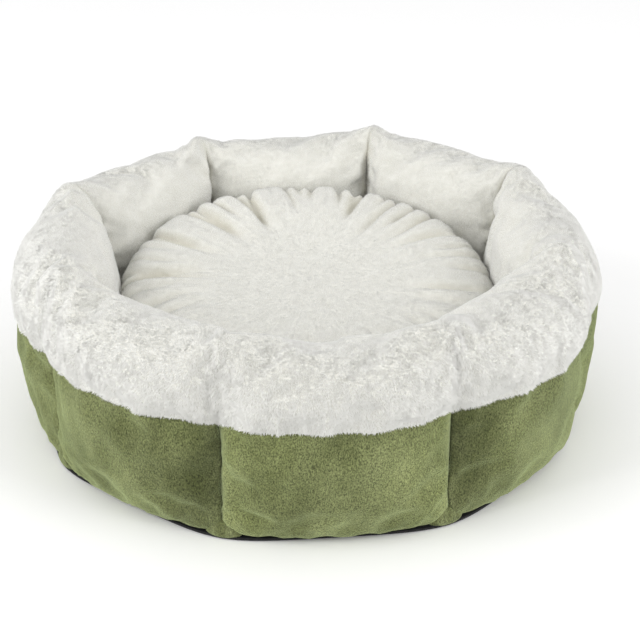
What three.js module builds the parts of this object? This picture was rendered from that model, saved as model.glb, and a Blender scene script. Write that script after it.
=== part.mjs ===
// Octagonal pet bed: eight stuffed wall chambers with green outer panels and white plush rims,
// a three-layer floor with a non-slip underside, and a loose round cushion.
// Units are millimetres, +Z is up, the floor is at z = 0 and the front wall faces -Y.
import * as THREE from 'three';

// ---- driving dimensions -------------------------------------------------------------------------
const SIDES = 8;
const HALF_SIDE = Math.PI / SIDES; // half the angle that one side takes up
const GAP = 0.3; // clearance between pieces that touch
const SEAM_GAP_ANGLE = 0.0008; // radians left free on each side of a corner seam

const BASE_CORNER_R = 233; // corner radius of the non-slip sheet
const SHEET_T = 1.2;
const PAD_T = 10;
const LINING_T = 1;
const PAD_CORNER_R = 227;

const PANEL_T = 2.5; // green panel with its backing
const PLUSH_T = 7; // plush with its pile
const BAND_Z = 97; // height of the seam between green panel and plush
const FOOT_Z = 15; // where the filled part of the wall stands on the floor layers

// Wall section, one row per line: radius and height at a corner seam, then at mid-side.
const PANEL_ROWS = [
  { seam: [233, 1.5], mid: [216.5, 1.5] },
  { seam: [234, FOOT_Z], mid: [230, FOOT_Z] },
  { seam: [235, 30], mid: [239.5, 30] },
  { seam: [235.5, 54], mid: [246, 54] },
  { seam: [236, 77], mid: [249, 79] },
  { seam: [236, BAND_Z], mid: [250.5, BAND_Z + 6] },
];
const RIM_ROWS = [
  { seam: [236, BAND_Z + GAP], mid: [250.5, BAND_Z + 6 + GAP] },
  { seam: [236, 122], mid: [251.5, 127] },
  { seam: [234.5, 147], mid: [246.5, 151] },
  { seam: [231, 168], mid: [236, 170] },
  { seam: [225, 182], mid: [222, 181] },
  { seam: [215, 187], mid: [207, 184] },
  { seam: [205, 182], mid: [191, 178] },
  { seam: [197, 166], mid: [180, 162] },
  { seam: [191, 141], mid: [172.5, 138] },
  { seam: [187, 90], mid: [167.5, 90] },
  { seam: [186, FOOT_Z], mid: [166.5, FOOT_Z] },
];
const STATIONS = [-1, -0.8, -0.45, 0, 0.45, 0.8, 1]; // along a side, from seam to seam
const PUFF_POWER = 2.6; // how squarely a chamber fills between its seams
const FRONT_DROP = 0.2; // share of the height above the green panel lost at the front wall
const DROP_POWER = 2.4; // how soon the wall regains its height away from the front

const CUSHION_R = 164;
const CUSHION_COVER_T = 4;
const CUSHION_BACKING_T = 1.5;
const CUSHION_TILT = 0.13; // the cushion rides higher at the back
const CUSHION_SEGMENTS = 32;
const CUSHION_FLOOR_Z = SHEET_T + PAD_T + LINING_T + 4 * GAP;
const CUSHION_SEAM_Z = 70;
// Radius and height of the cushion's outside, from the edge seam to the middle.
const CUSHION_TOP_ROWS = [
  [CUSHION_R, CUSHION_SEAM_Z + GAP], [163, 92], [158, 109], [146, 120], [118, 124.5], [80, 126.5],
  [40, 127.3],
];
const CUSHION_BOTTOM_ROWS = [
  [CUSHION_R, CUSHION_SEAM_Z], [160, 44], [148, 22], [130, CUSHION_FLOOR_Z + 0.6],
  [64, CUSHION_FLOOR_Z + 0.6],
];
const CUSHION_TOP_Z = 127.6;

// ---- materials ----------------------------------------------------------------------------------
const MATERIALS = {
  greenPile: { color: 0x849266, roughness: 0.9, metalness: 0 },
  plush: { color: 0xf1f0ea, roughness: 0.95, metalness: 0 },
  fibre: { color: 0xfafafa, roughness: 1, metalness: 0 },
  blackSheet: { color: 0x16171a, roughness: 0.8, metalness: 0 },
  lining: { color: 0xe6e4dc, roughness: 0.9, metalness: 0 },
};

function namedMesh(name, geometry, finish) {
  const mesh = new THREE.Mesh(geometry, new THREE.MeshStandardMaterial(MATERIALS[finish]));
  mesh.name = name;
  return mesh;
}

// ---- shape helpers ------------------------------------------------------------------------------
// A closed body through a list of closed loops, one to a station, with flat triangulated ends.
// Each quad is cut from its lower near corner to its upper far one, so nested bodies match.
function loft(loops, outline) {
  const count = loops[0].length;
  const index = [];
  for (let s = 0; s + 1 < loops.length; s += 1) {
    for (let k = 0; k < count; k += 1) {
      const next = (k + 1) % count;
      const a = s * count + k;
      const b = s * count + next;
      const c = (s + 1) * count + next;
      const d = (s + 1) * count + k;
      if (loops[s][next].z >= loops[s][k].z) index.push(a, b, c, a, c, d);
      else index.push(a, b, d, b, c, d);
    }
  }
  const last = (loops.length - 1) * count;
  for (const [i, j, k] of THREE.ShapeUtils.triangulateShape(outline, [])) {
    index.push(i, k, j);
    index.push(last + i, last + j, last + k);
  }
  return outwardGeometry(loops.flat(), index);
}

// Builds the geometry and turns every face round if the body came out inside out.
function outwardGeometry(points, index) {
  let volume = 0;
  for (let i = 0; i < index.length; i += 3) {
    const [p, q, r] = [points[index[i]], points[index[i + 1]], points[index[i + 2]]];
    volume += p.dot(new THREE.Vector3().crossVectors(q, r));
  }
  const turned = [];
  for (let i = 0; i < index.length; i += 3) {
    const order = volume < 0 ? [0, 2, 1] : [0, 1, 2];
    order.forEach((k) => turned.push(index[i + k]));
  }
  const geometry = new THREE.BufferGeometry();
  geometry.setAttribute('position', new THREE.Float32BufferAttribute(
    points.flatMap((p) => [p.x, p.y, p.z]), 3));
  geometry.setIndex(turned);
  geometry.computeVertexNormals();
  return geometry;
}

// The rows of a section moved to their left by a distance, each along its own normal.
function offsetRows(rows, distance) {
  return rows.map((row, i) => {
    const before = rows[Math.max(i - 1, 0)];
    const after = rows[Math.min(i + 1, rows.length - 1)];
    const run = new THREE.Vector2(after.x - before.x, after.y - before.y).normalize();
    return new THREE.Vector2(row.x - run.y * distance, row.y + run.x * distance);
  });
}

// ---- wall ---------------------------------------------------------------------------------------
// Height above the green panel shrinks towards the front, where the bed is stepped over.
function crestScale(azimuth) {
  const front = 0.5 * (1 - Math.sin(azimuth));
  return 1 - FRONT_DROP * front ** DROP_POWER;
}

function slumped(z, azimuth) {
  return z <= BAND_Z ? z : BAND_Z + (z - BAND_Z) * crestScale(azimuth);
}

// The section of the wall at one station of one side, as (radius, height) points.
function sectionRows(rows, station, centre) {
  const angle = station * HALF_SIDE;
  const azimuth = centre + angle;
  const puff = 1 - Math.abs(station) ** PUFF_POWER;
  return rows.map(({ seam, mid }) => {
    const chord = seam[0] * Math.cos(HALF_SIDE) / Math.cos(angle);
    const bulge = mid[0] - seam[0] * Math.cos(HALF_SIDE);
    const z = seam[1] + (mid[1] - seam[1]) * puff;
    return new THREE.Vector2(chord + bulge * puff, slumped(z, azimuth));
  });
}

function spin(point, station, centre) {
  const angle = centre + station * (HALF_SIDE - SEAM_GAP_ANGLE);
  return new THREE.Vector3(point.x * Math.cos(angle), point.x * Math.sin(angle), point.y);
}

// Lofts one piece of a side from a function that gives its closed section at a station.
function sidePiece(centre, sectionAt) {
  const sections = STATIONS.map((station) => sectionAt(station));
  const loops = sections.map((section, i) => section.map((p) => spin(p, STATIONS[i], centre)));
  return loft(loops, sections[0]);
}

function outerPanel(centre) {
  return sidePiece(centre, (station) => {
    const outside = sectionRows(PANEL_ROWS, station, centre);
    const inside = outside.map((p) => new THREE.Vector2(p.x - PANEL_T, p.y));
    return [...outside, ...inside.reverse()];
  });
}

function rimPanel(centre) {
  return sidePiece(centre, (station) => {
    const outside = sectionRows(RIM_ROWS, station, centre);
    const inside = offsetRows(outside, PLUSH_T);
    inside[0].y = outside[0].y;
    inside[inside.length - 1].y = outside[outside.length - 1].y;
    return [...outside, ...inside.reverse()];
  });
}

function wallFill(centre) {
  return sidePiece(centre, (station) => {
    const behindPanel = sectionRows(PANEL_ROWS, station, centre)
      .map((p) => new THREE.Vector2(p.x - PANEL_T - GAP, p.y)).slice(1, -1);
    const behindPlush = offsetRows(sectionRows(RIM_ROWS, station, centre), PLUSH_T + GAP);
    behindPlush[behindPlush.length - 1].y = FOOT_Z;
    return [...behindPanel, ...behindPlush];
  });
}

// ---- floor --------------------------------------------------------------------------------------
function octagonSlab(cornerRadius, low, thickness) {
  const shape = new THREE.Shape();
  for (let i = 0; i < SIDES; i += 1) {
    const angle = -Math.PI / 2 + HALF_SIDE + i * 2 * HALF_SIDE;
    const [x, y] = [cornerRadius * Math.cos(angle), cornerRadius * Math.sin(angle)];
    if (i === 0) shape.moveTo(x, y);
    else shape.lineTo(x, y);
  }
  shape.closePath();
  const slab = new THREE.ExtrudeGeometry(shape, { depth: thickness, bevelEnabled: false });
  return slab.translate(0, 0, low);
}

// ---- cushion ------------------------------------------------------------------------------------
function tilted(radius, height, angle) {
  const y = radius * Math.sin(angle);
  const share = Math.max(0, (height - CUSHION_FLOOR_Z) / (CUSHION_TOP_Z - CUSHION_FLOOR_Z));
  return new THREE.Vector3(radius * Math.cos(angle), y, height + CUSHION_TILT * y * share);
}

// Turns an open profile that starts and ends on the axis into a closed body.
function turnedBody(profile) {
  const inner = profile.slice(1, -1);
  const points = [tilted(0, profile[0][1], 0)];
  for (let s = 0; s < CUSHION_SEGMENTS; s += 1) {
    const angle = 2 * Math.PI * s / CUSHION_SEGMENTS;
    inner.forEach(([r, z]) => points.push(tilted(r, z, angle)));
  }
  points.push(tilted(0, profile[profile.length - 1][1], 0));
  const index = [];
  for (let s = 0; s < CUSHION_SEGMENTS; s += 1) {
    const here = 1 + s * inner.length;
    const next = 1 + ((s + 1) % CUSHION_SEGMENTS) * inner.length;
    index.push(0, here, next);
    for (let k = 0; k + 1 < inner.length; k += 1) {
      index.push(here + k, here + k + 1, next + k + 1);
      index.push(here + k, next + k + 1, next + k);
    }
    index.push(here + inner.length - 1, points.length - 1, next + inner.length - 1);
  }
  return outwardGeometry(points, index);
}

function asVectors(rows) {
  return rows.map(([r, z]) => new THREE.Vector2(r, z));
}

function asPairs(rows) {
  return rows.map((p) => [p.x, p.y]);
}

function cushionTop() {
  const outside = asVectors(CUSHION_TOP_ROWS);
  const inside = asPairs(offsetRows(outside, CUSHION_COVER_T));
  inside[0][1] = CUSHION_TOP_ROWS[0][1];
  return turnedBody([
    [0, CUSHION_TOP_Z], ...asPairs(outside).reverse(), ...inside, [0, CUSHION_TOP_Z - CUSHION_COVER_T],
  ]);
}

function cushionBottom() {
  const outside = asVectors(CUSHION_BOTTOM_ROWS);
  const inside = asPairs(offsetRows(outside, -CUSHION_BACKING_T));
  inside[0][1] = CUSHION_BOTTOM_ROWS[0][1];
  const low = CUSHION_BOTTOM_ROWS[CUSHION_BOTTOM_ROWS.length - 1][1];
  return turnedBody([
    [0, low], ...asPairs(outside).reverse(), ...inside, [0, low + CUSHION_BACKING_T],
  ]);
}

function cushionFill() {
  const top = asPairs(offsetRows(asVectors(CUSHION_TOP_ROWS), CUSHION_COVER_T + GAP)).slice(1);
  const bottom = asPairs(offsetRows(asVectors(CUSHION_BOTTOM_ROWS), -CUSHION_BACKING_T - GAP));
  const low = CUSHION_BOTTOM_ROWS[CUSHION_BOTTOM_ROWS.length - 1][1] + CUSHION_BACKING_T + GAP;
  bottom[0] = [CUSHION_R - CUSHION_COVER_T - GAP, CUSHION_SEAM_Z];
  return turnedBody([
    [0, low], ...bottom.reverse(), ...top, [0, CUSHION_TOP_Z - CUSHION_COVER_T - GAP],
  ]);
}

// ---- assembly -----------------------------------------------------------------------------------
function buildBed() {
  const bed = new THREE.Group();
  bed.name = 'pet_cushion_bed';
  const padLow = SHEET_T + GAP;
  const liningLow = padLow + PAD_T + GAP;
  bed.add(namedMesh('base_nonslip_sheet', octagonSlab(BASE_CORNER_R, 0, SHEET_T), 'blackSheet'));
  bed.add(namedMesh('base_pad', octagonSlab(PAD_CORNER_R, padLow, PAD_T), 'fibre'));
  bed.add(namedMesh('base_lining', octagonSlab(PAD_CORNER_R, liningLow, LINING_T), 'lining'));
  for (let i = 0; i < SIDES; i += 1) {
    const centre = -Math.PI / 2 + i * 2 * HALF_SIDE;
    bed.add(namedMesh(`outer_panel_${i + 1}`, outerPanel(centre), 'greenPile'));
    bed.add(namedMesh(`rim_panel_${i + 1}`, rimPanel(centre), 'plush'));
    bed.add(namedMesh(`wall_fill_${i + 1}`, wallFill(centre), 'fibre'));
  }
  bed.add(namedMesh('cushion_cover_top', cushionTop(), 'plush'));
  bed.add(namedMesh('cushion_cover_bottom', cushionBottom(), 'lining'));
  bed.add(namedMesh('cushion_fill', cushionFill(), 'fibre'));
  return bed;
}

const group = buildBed();

export default group;
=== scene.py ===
"""Looks of an octagonal pet bed: stuffed walls, plush pile, a gathered cushion and a floor."""

import logging
import math
from dataclasses import dataclass, field
from enum import Enum
from typing import Union

import bpy
import numpy as np
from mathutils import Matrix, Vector


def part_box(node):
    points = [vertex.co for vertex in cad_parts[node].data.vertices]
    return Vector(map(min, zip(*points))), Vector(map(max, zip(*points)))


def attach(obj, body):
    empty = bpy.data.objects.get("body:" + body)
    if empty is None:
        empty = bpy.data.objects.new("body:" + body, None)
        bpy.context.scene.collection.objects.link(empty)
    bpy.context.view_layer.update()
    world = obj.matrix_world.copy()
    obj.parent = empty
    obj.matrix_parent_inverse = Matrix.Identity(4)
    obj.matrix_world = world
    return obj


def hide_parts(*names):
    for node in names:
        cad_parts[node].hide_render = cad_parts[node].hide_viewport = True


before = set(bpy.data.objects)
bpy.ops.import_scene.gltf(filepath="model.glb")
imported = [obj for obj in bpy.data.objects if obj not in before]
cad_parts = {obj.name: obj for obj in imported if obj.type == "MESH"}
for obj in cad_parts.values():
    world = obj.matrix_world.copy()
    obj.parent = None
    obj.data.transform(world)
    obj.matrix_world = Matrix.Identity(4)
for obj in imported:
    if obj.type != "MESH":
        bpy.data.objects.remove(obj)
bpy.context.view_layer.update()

LOG = logging.getLogger("pet_bed")
SIDES = 8
HALF_SIDE = math.pi / SIDES
Object = bpy.types.Object
Material = bpy.types.Material
Socket = bpy.types.NodeSocket
Value = Union[bpy.types.NodeSocket, float, tuple]


class Body(str, Enum):
    """The rigid bodies that pieces ride on."""

    BED = "bed"
    CUSHION = "cushion"


class Group(str, Enum):
    """Names of the shared shader node groups."""

    NAP = "brushed_nap"
    WEAVE = "plain_weave"
    CLUMPS = "pile_clumps"
    SEAM = "seam_shade"


# ---- arrays and meshes ---------------------------------------------------------------------------


def smooth_curve(points: np.ndarray, count: int) -> np.ndarray:
    """Resamples a polyline along a Catmull-Rom curve at even steps of length.

    Args:
        points: Control points, one row each.
        count: Number of points to return, ends included.

    Returns:
        The resampled points.
    """
    padded = np.vstack([2 * points[0] - points[1], points, 2 * points[-1] - points[-2]])
    t = np.linspace(0, 1, 24, endpoint=False)[:, None]
    dense = []
    for p0, p1, p2, p3 in zip(padded, padded[1:], padded[2:], padded[3:]):
        dense.append(
            0.5
            * (
                2 * p1
                + (p2 - p0) * t
                + (2 * p0 - 5 * p1 + 4 * p2 - p3) * t**2
                + (3 * p1 - p0 - 3 * p2 + p3) * t**3
            )
        )
    dense = np.vstack(dense + [points[-1:]])
    run = np.concatenate([[0], np.cumsum(np.linalg.norm(np.diff(dense, axis=0), axis=1))])
    at = np.linspace(0, run[-1], count)
    return np.stack([np.interp(at, run, column) for column in dense.T], axis=1)


def refine(grid: np.ndarray, axis: int, closed: bool) -> np.ndarray:
    """Puts a point midway between neighbours along one axis, on a cubic through four of them.

    Args:
        grid: Array of points, rows by columns by three.
        axis: Axis to refine.
        closed: True if that axis runs round and meets itself.

    Returns:
        The finer grid.
    """
    moved = np.moveaxis(grid, axis, 0)
    if closed:
        before, after = np.roll(moved, 1, 0), np.roll(moved, -1, 0)
        far = np.roll(moved, -2, 0)
        middle = (9 * (moved + after) - before - far) / 16
        out = np.empty((2 * len(moved),) + moved.shape[1:])
        out[0::2], out[1::2] = moved, middle
    else:
        line = np.concatenate([2 * moved[:1] - moved[1:2], moved, 2 * moved[-1:] - moved[-2:-1]])
        middle = (9 * (line[1:-2] + line[2:-1]) - line[:-3] - line[3:]) / 16
        out = np.empty((2 * len(moved) - 1,) + moved.shape[1:])
        out[0::2], out[1::2] = moved, middle
    return np.moveaxis(out, 0, axis)


def grid_normals(grid: np.ndarray, closed: bool = False) -> np.ndarray:
    """Unit normals of a grid of points, pointing to the left of its rows seen from its columns.

    Args:
        grid: Array of points, rows by columns by three.
        closed: True if the columns run round and meet.

    Returns:
        One unit normal for each point.
    """
    if closed:
        across = np.roll(grid, -1, 1) - np.roll(grid, 1, 1)
    else:
        across = np.gradient(grid, axis=1)
    normal = np.cross(across, np.gradient(grid, axis=0))
    return normal / np.maximum(np.linalg.norm(normal, axis=2, keepdims=True), 1e-12)


def drift(points: np.ndarray, wavelength: float, seed: int) -> np.ndarray:
    """Smooth random vectors that depend on place, from a sum of sines.

    Args:
        points: Places, with three numbers on the last axis.
        wavelength: Typical distance between two bumps, in metres.
        seed: Seed of the random directions and phases.

    Returns:
        An array of the same shape, each component within about minus one to one.
    """
    rng = np.random.default_rng(seed)
    waves = 9
    out = np.zeros(points.shape)
    for _ in range(waves):
        direction = rng.normal(size=3)
        direction *= 2 * math.pi / (np.linalg.norm(direction) * wavelength * rng.uniform(0.7, 1.6))
        phase = rng.uniform(0, 2 * math.pi, 3)
        angle = points @ direction
        out += np.sin(angle[..., None] + phase)
    return out / math.sqrt(waves)


def tufted(points: np.ndarray, size: float, seed: int) -> np.ndarray:
    """Random vectors that change from tuft to tuft, smoothly between their middles.

    Args:
        points: Places, one row each.
        size: Distance between the middles of two tufts, in metres.
        seed: Seed of the vectors.

    Returns:
        One vector for each place, each component about minus one to one.
    """
    rng = np.random.default_rng(seed)
    cells = 48
    lattice = rng.normal(0, 0.8, (cells, cells, cells, 3))
    turn, _ = np.linalg.qr(rng.normal(size=(3, 3)))
    place = points @ turn / size
    corner = np.floor(place).astype(int)
    share = eased(place - corner, 0.0, 1.0)
    out = np.zeros(points.shape)
    for step in np.ndindex(2, 2, 2):
        at = (corner + np.array(step)) % cells
        weight = np.where(np.array(step), share, 1 - share).prod(-1, keepdims=True)
        out += weight * lattice[at[:, 0], at[:, 1], at[:, 2]]
    return out


def eased(value: np.ndarray, low: float, high: float) -> np.ndarray:
    """Smooth step from 0 at low to 1 at high.

    Args:
        value: Numbers to map.
        low: Where the step starts.
        high: Where it ends.

    Returns:
        The mapped numbers.
    """
    t = np.clip((value - low) / (high - low), 0, 1)
    return t * t * (3 - 2 * t)


def unit(vectors: np.ndarray) -> np.ndarray:
    """Vectors scaled to length one along the last axis.

    Args:
        vectors: Vectors of any length.

    Returns:
        The unit vectors.
    """
    return vectors / np.maximum(np.linalg.norm(vectors, axis=-1, keepdims=True), 1e-12)


def build_object(
    name: str, verts: np.ndarray, faces: list[np.ndarray], smooth: bool = True
) -> Object:
    """Makes a mesh object from arrays.

    Args:
        name: Name of the object.
        verts: Vertex positions, one row each.
        faces: Arrays of vertex numbers, one array for each face size.
        smooth: True for smooth shading.

    Returns:
        The new object, linked to the scene.
    """
    mesh = bpy.data.meshes.new(name)
    mesh.vertices.add(len(verts))
    mesh.vertices.foreach_set("co", np.asarray(verts, np.float32).ravel())
    sizes = np.concatenate([np.full(len(f), f.shape[1]) for f in faces])
    corners = np.concatenate([f.ravel() for f in faces]).astype(np.int32)
    mesh.loops.add(len(corners))
    mesh.loops.foreach_set("vertex_index", corners)
    mesh.polygons.add(len(sizes))
    starts = np.concatenate([[0], np.cumsum(sizes)[:-1]]).astype(np.int32)
    mesh.polygons.foreach_set("loop_start", starts)
    mesh.polygons.foreach_set("use_smooth", np.full(len(sizes), smooth))
    mesh.update(calc_edges=True)
    obj = bpy.data.objects.new(name, mesh)
    bpy.context.scene.collection.objects.link(obj)
    return obj


def grid_quads(rows: int, columns: int, closed: bool = False) -> np.ndarray:
    """Quads of a grid whose points are numbered row by row.

    Args:
        rows: Number of rows.
        columns: Number of columns.
        closed: True if the last column joins the first.

    Returns:
        Four vertex numbers for each quad.
    """
    r = np.arange(rows - 1)[:, None]
    c = np.arange(columns if closed else columns - 1)[None, :]
    n = (c + 1) % columns
    here, above = r * columns, (r + 1) * columns
    return np.stack([here + c, here + n, above + n, above + c], -1).reshape(-1, 4)


def paint(obj: Object, name: str, values: np.ndarray) -> None:
    """Stores one number for each vertex as a named attribute.

    Args:
        obj: Mesh object.
        name: Name of the attribute.
        values: One number for each vertex, or for each of a shell's outer face, which its inner
            face repeats.
    """
    layer = obj.data.attributes.new(name, "FLOAT", "POINT")
    numbers = np.asarray(values, np.float32).ravel()
    layer.data.foreach_set("value", np.tile(numbers, len(obj.data.vertices) // len(numbers)))


def shell(
    name: str, grid: np.ndarray, thickness: float, inner: np.ndarray | None = None
) -> Object:
    """Makes a closed body from an open grid, which becomes its outer face.

    Args:
        name: Name of the object.
        grid: Points of the outer face, rows by columns by three.
        thickness: Distance to the inner face, where inner isn't given.
        inner: Points of the inner face.

    Returns:
        The new object. Its first vertices are the grid's, then the inner face's.
    """
    rows, columns = grid.shape[:2]
    if inner is None:
        inner = grid - grid_normals(grid) * thickness
    verts = np.concatenate([grid.reshape(-1, 3), inner.reshape(-1, 3)])
    count = rows * columns
    ids = np.arange(count).reshape(rows, columns)
    edge = np.concatenate([ids[0, :-1], ids[:-1, -1], ids[-1, :0:-1], ids[:0:-1, 0]])
    after = np.roll(edge, -1)
    sides = np.stack([edge, edge + count, after + count, after], 1)
    front = grid_quads(rows, columns)
    back = grid_quads(rows, columns)[:, ::-1] + count
    return build_object(name, verts, [np.concatenate([front, back, sides])])


# ---- shader graphs -------------------------------------------------------------------------------


class Graph:
    """A node tree with short calls for adding nodes and joining sockets."""

    def __init__(self, tree: bpy.types.NodeTree) -> None:
        """Takes the tree to add to.

        Args:
            tree: The node tree.
        """
        self.tree = tree

    def add(self, kind: str, inputs: dict | None = None, **settings: str) -> bpy.types.Node:
        """Adds a node.

        Args:
            kind: The node's type, without the ShaderNode prefix.
            inputs: Values or sockets for its inputs, by name or number.
            **settings: Properties of the node.

        Returns:
            The node.
        """
        node = self.tree.nodes.new("ShaderNode" + kind)
        for key, value in settings.items():
            setattr(node, key, value)
        for key, value in (inputs or {}).items():
            self.feed(node.inputs[key], value)
        return node

    def feed(self, socket: Socket, value: Value) -> None:
        """Joins a socket to an input, or sets the input's value.

        Args:
            socket: The input.
            value: A socket or a plain value.
        """
        if isinstance(value, bpy.types.NodeSocket):
            self.tree.links.new(value, socket)
        else:
            socket.default_value = value

    def math(self, operation: str, a: Value, b: Value = 0.0) -> Socket:
        """Adds a math node.

        Args:
            operation: Name of the operation.
            a: First value or socket.
            b: Second value or socket.

        Returns:
            The result's socket.
        """
        return self.add("Math", {0: a, 1: b}, operation=operation).outputs[0]

    def weigh(self, a: Socket, share: float, b: Socket, rest: float) -> Socket:
        """Adds two values, each times its own share.

        Args:
            a: First socket.
            share: Share of the first.
            b: Second socket.
            rest: Share of the second.

        Returns:
            The sum's socket.
        """
        return self.math("ADD", self.math("MULTIPLY", a, share), self.math("MULTIPLY", b, rest))

    def mix(self, factor: Value, a: Value, b: Value) -> Socket:
        """Adds a colour mix.

        Args:
            factor: Share of b, a value or a socket.
            a: First colour or socket.
            b: Second colour or socket.

        Returns:
            The mixed colour's socket.
        """
        node = self.add("Mix", data_type="RGBA")
        for number, value in zip((0, 6, 7), (factor, a, b)):
            self.feed(node.inputs[number], value)
        return node.outputs[2]

    def stretch(
        self, value: Socket, low: float, high: float, to_low: float = 0.0, to_high: float = 1.0
    ) -> Socket:
        """Maps one range of numbers to another and clamps it.

        Args:
            value: Socket to map.
            low: Start of the incoming range.
            high: End of the incoming range.
            to_low: Start of the outgoing range.
            to_high: End of the outgoing range.

        Returns:
            The result's socket.
        """
        inputs = {0: value, 1: low, 2: high, 3: to_low, 4: to_high}
        return self.add("MapRange", inputs, clamp=True).outputs[0]


class SharedGroups:
    """Builds each shared node group once and hands it out by name."""

    def __init__(self) -> None:
        """Builds all the groups."""
        self.trees = {
            Group.NAP: self._nap(),
            Group.WEAVE: self._weave(),
            Group.CLUMPS: self._clumps(),
            Group.SEAM: self._seam(),
        }

    @staticmethod
    def _new(group: Group, inputs: dict[str, float], outputs: list[str]) -> tuple:
        """Starts a group with number inputs, a Vector input and number outputs.

        Args:
            group: The group's name.
            inputs: Default of each number input, by name.
            outputs: Names of the number outputs.

        Returns:
            The graph, its input node and its output node.
        """
        tree = bpy.data.node_groups.new(group.value, "ShaderNodeTree")
        tree.interface.new_socket("Vector", in_out="INPUT", socket_type="NodeSocketVector")
        for name, default in inputs.items():
            socket = tree.interface.new_socket(name, in_out="INPUT", socket_type="NodeSocketFloat")
            socket.default_value = default
        for name in outputs:
            tree.interface.new_socket(name, in_out="OUTPUT", socket_type="NodeSocketFloat")
        graph = Graph(tree)
        return graph, tree.nodes.new("NodeGroupInput"), tree.nodes.new("NodeGroupOutput")

    def _nap(self) -> bpy.types.NodeTree:
        """Short brushed pile: broad patches, finger-sized strokes and a fine grain."""
        graph, given, out = self._new(
            Group.NAP, {"Patch": 14.0, "Stroke": 60.0, "Grain": 1050.0}, ["Tone", "Grain", "Height"]
        )
        place = given.outputs["Vector"]
        squeeze = graph.add("Mapping", {"Vector": place, "Scale": (1.0, 1.0, 0.6)}).outputs[0]
        size = given.outputs
        patch = graph.add("TexNoise", {"Vector": place, "Scale": size["Patch"], "Detail": 3.0})
        stroke = graph.add("TexNoise", {"Vector": squeeze, "Scale": size["Stroke"], "Detail": 4.0})
        grain = graph.add(
            "TexNoise", {"Vector": squeeze, "Scale": size["Grain"], "Detail": 2.0, "Roughness": 0.7}
        )
        broad = graph.stretch(patch.outputs[0], 0.33, 0.67)
        middle = graph.stretch(stroke.outputs[0], 0.3, 0.7)
        fine = graph.stretch(grain.outputs[0], 0.3, 0.7)
        tone = graph.weigh(broad, 0.6, middle, 0.4)
        height = graph.weigh(fine, 0.7, middle, 0.3)
        graph.feed(out.inputs["Tone"], tone)
        graph.feed(out.inputs["Grain"], fine)
        graph.feed(out.inputs["Height"], height)
        return graph.tree

    def _weave(self) -> bpy.types.NodeTree:
        """Plain weave: two crossed sets of threads with a little slub."""
        graph, given, out = self._new(Group.WEAVE, {"Threads": 900.0}, ["Tone", "Height"])
        place, threads = given.outputs["Vector"], given.outputs["Threads"]
        inputs = {"Vector": place, "Scale": threads, "Distortion": 1.2, "Detail": 2.0}
        sets = []
        for direction in ("X", "Y"):
            wave = graph.add("TexWave", inputs, bands_direction=direction)
            sets.append(wave.outputs["Fac"])
        slub = graph.add("TexNoise", {"Vector": place, "Scale": 60.0, "Detail": 3.0}).outputs[0]
        height = graph.math("MAXIMUM", *sets)
        tone = graph.math("MULTIPLY", height, graph.stretch(slub, 0.3, 0.7, 0.7, 1.0))
        graph.feed(out.inputs["Tone"], tone)
        graph.feed(out.inputs["Height"], height)
        return graph.tree

    def _clumps(self) -> bpy.types.NodeTree:
        """Plush seen from above: rounded tufts with fine fibre between them."""
        sizes = {"Tufts": 150.0, "Fibre": 900.0}
        graph, given, out = self._new(Group.CLUMPS, sizes, ["Tone", "Height"])
        place = given.outputs["Vector"]
        bend = graph.add("TexNoise", {"Vector": place, "Scale": 90.0, "Detail": 2.0})
        shift = {0: bend.outputs["Color"], 1: (0.012, 0.012, 0.012)}
        moved = graph.add("VectorMath", shift, operation="MULTIPLY").outputs[0]
        bent = graph.add("VectorMath", {0: place, 1: moved}, operation="ADD").outputs[0]
        tufts = graph.add(
            "TexVoronoi", {"Vector": bent, "Scale": given.outputs["Tufts"]}, feature="SMOOTH_F1"
        ).outputs["Distance"]
        fibre = graph.add(
            "TexNoise", {"Vector": place, "Scale": given.outputs["Fibre"], "Detail": 2.0}
        ).outputs[0]
        crown = graph.stretch(tufts, 0.0, 0.8, 1.0, 0.0)
        height = graph.weigh(crown, 0.75, fibre, 0.25)
        # The tone follows the height, so the hollows between tufts come out darker: painted shade.
        graph.feed(out.inputs["Tone"], graph.stretch(height, 0.2, 0.9))
        graph.feed(out.inputs["Height"], height)
        return graph.tree

    def _seam(self) -> bpy.types.NodeTree:
        """Turns the seam distance stored on the mesh into a painted shade line in the seam crease
        and a painted sheen highlight on the raised cloth beside it, broken up by noise.
        """
        graph, given, out = self._new(Group.SEAM, {"Seam": 0.0}, ["Line", "PaintedSheen"])
        place = given.outputs["Vector"]
        sheen_breakup = graph.add("TexNoise", {"Vector": place, "Scale": 120.0, "Detail": 3.0})
        # Painted shade: a line right in the seam crease.
        line = graph.stretch(given.outputs["Seam"], 0.86, 1.0)
        # Painted sheen: a lighter band beside the seam, broken up by noise.
        edge = graph.stretch(given.outputs["Seam"], 0.15, 0.75)
        broken_sheen = graph.math("MULTIPLY", edge, graph.stretch(sheen_breakup.outputs[0], 0.25, 0.7, 0.35, 1.0))
        graph.feed(out.inputs["Line"], line)
        graph.feed(out.inputs["PaintedSheen"], broken_sheen)
        return graph.tree


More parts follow.
